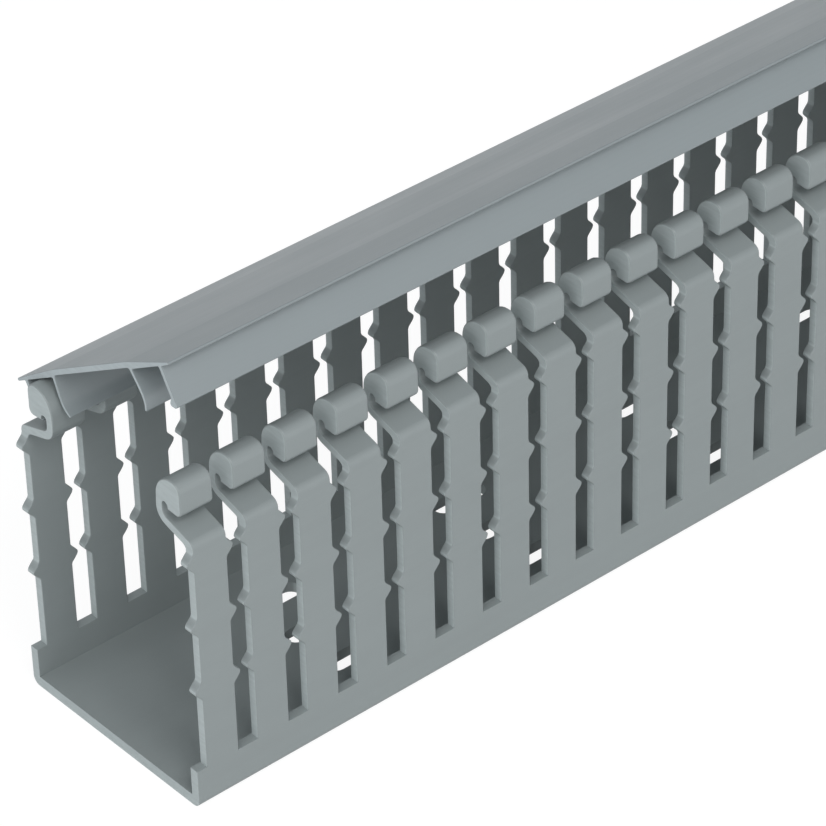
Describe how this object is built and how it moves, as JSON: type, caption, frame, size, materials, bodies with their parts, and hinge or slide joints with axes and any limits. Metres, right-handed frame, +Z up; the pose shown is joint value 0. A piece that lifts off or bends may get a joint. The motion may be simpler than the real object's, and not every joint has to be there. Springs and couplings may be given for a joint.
{
  "type": "slotted wire duct",
  "caption": "Straight plastic wiring channel with rows of open fingers along both walls, slotted fixing holes in its base and a clip-on cover swung half open.",
  "frame": {"origin": "centre of the middle fixing slot, on the duct's underside", "axes": "+X along the duct, +Y across it towards the wall that carries the cover, +Z up out of the open side"},
  "size_m": [1.0046, 0.0553, 0.0978],
  "materials": {
    "duct_plastic": "satin",
    "cover_plastic": "satin"
  },
  "bodies": {
    "duct": {"duct_body": "duct_plastic"},
    "cover": {"cover": "cover_plastic"}
  },
  "joints": [
    {"name": "cover_hinge", "type": "hinge", "parent": "duct", "child": "cover", "pos_m": [0, 0.01945, 0.06996], "axis": [-1, 0, 0], "range_deg": [-30.3, 4.7]}
  ]
}
